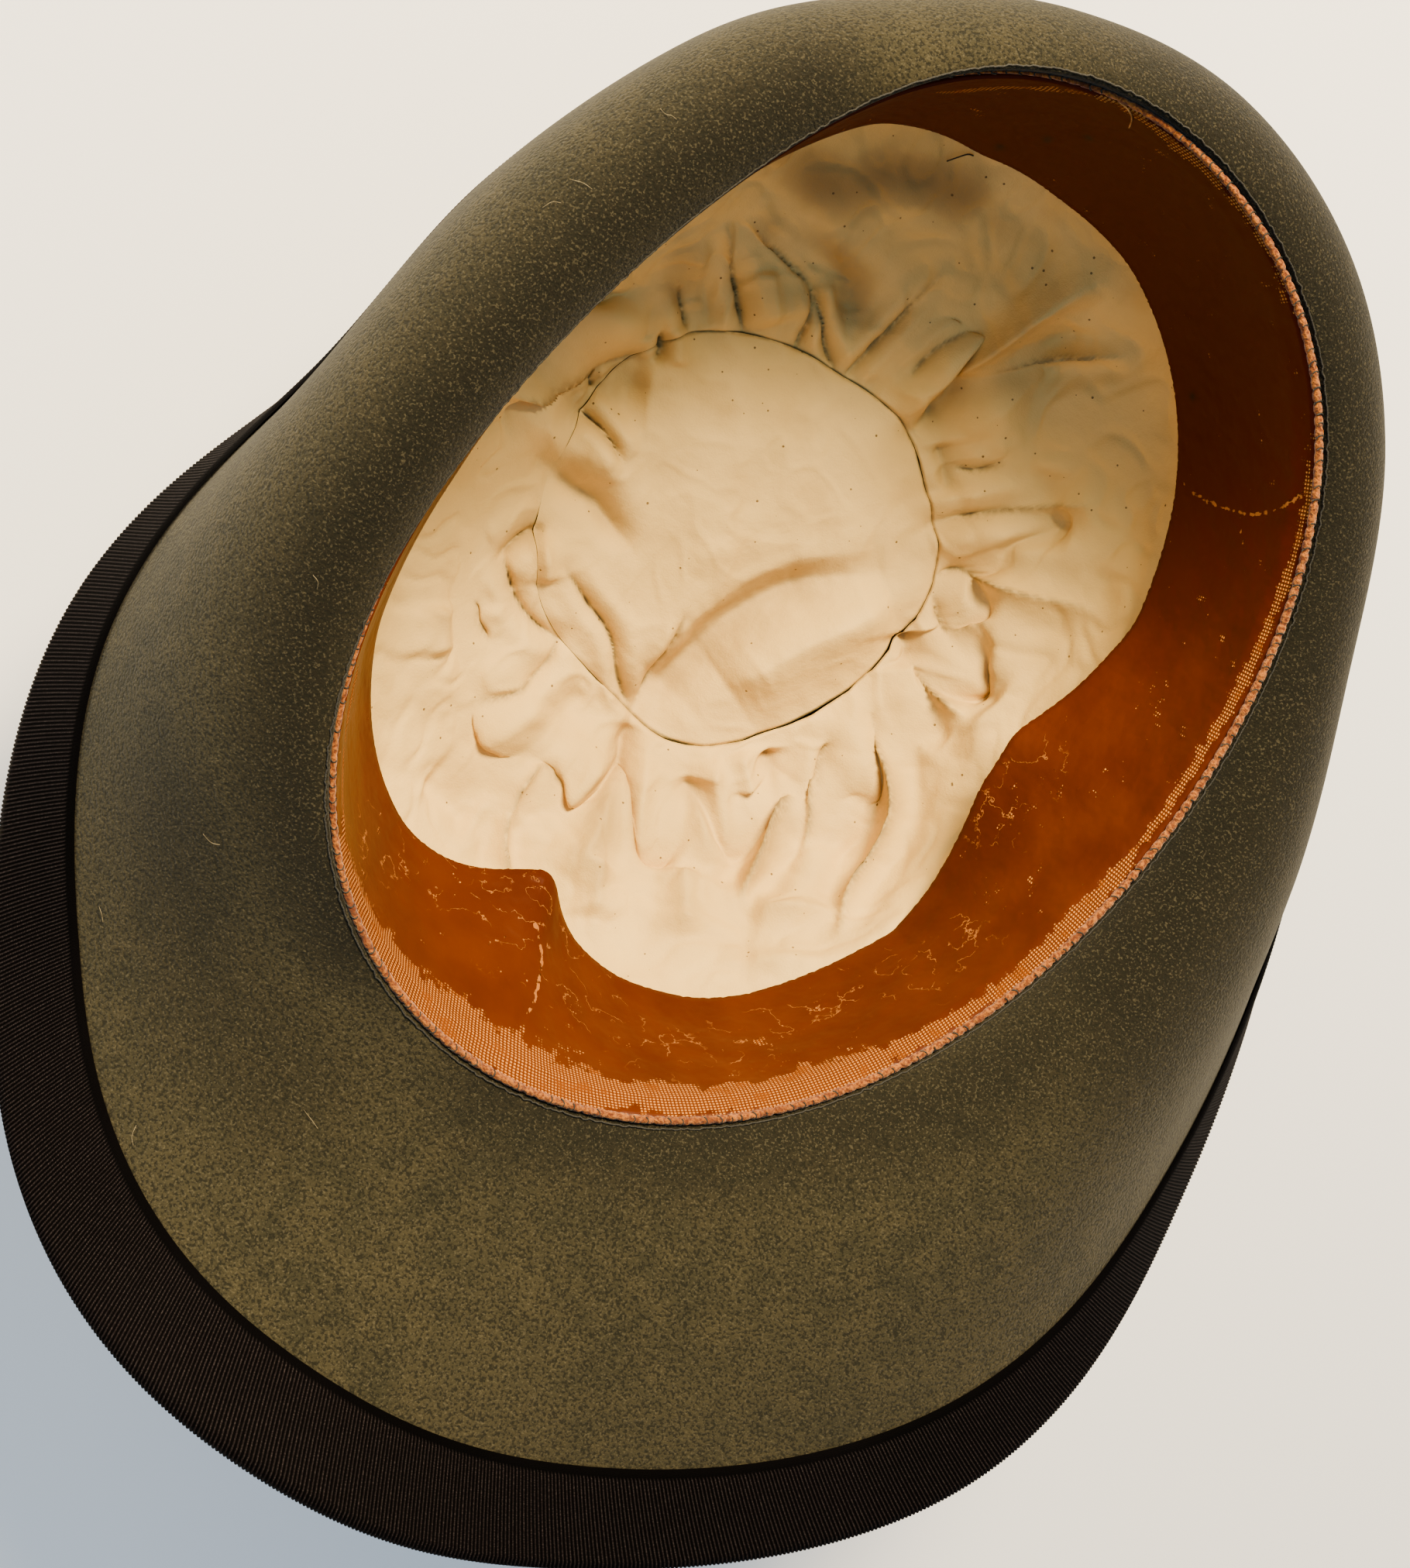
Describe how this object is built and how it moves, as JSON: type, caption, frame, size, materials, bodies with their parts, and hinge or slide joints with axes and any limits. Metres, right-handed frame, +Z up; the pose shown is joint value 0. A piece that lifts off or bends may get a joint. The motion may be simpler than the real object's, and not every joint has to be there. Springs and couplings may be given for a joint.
{
  "type": "alpine hat",
  "caption": "Olive felt alpine hat resting upside down on its crown, brim turned up behind and down in front, with ribbed binding, leather sweatband and satin lining.",
  "frame": {"origin": "bottom centre of the whole hat's box, on the surface that the crown's ridge rests on", "axes": "+Z up out of the head opening, -Y towards the wearer's front, +X towards the wearer's right as the hat lies upside down"},
  "size_m": [0.2458, 0.2966, 0.1424],
  "materials": {
    "felt": "matte wool felt with a fine speckled nap",
    "binding": "dark ribbed grosgrain ribbon",
    "sweatband": "glossy oiled leather, crazed and worn to the cloth at the seam",
    "lining_side": "wrinkled cream satin",
    "lining_tip": "wrinkled cream satin"
  },
  "bodies": {
    "root": {"felt_body": "felt", "brim_binding": "binding", "sweatband": "sweatband", "lining_side": "lining_side", "lining_tip": "lining_tip"}
  },
  "joints": []
}
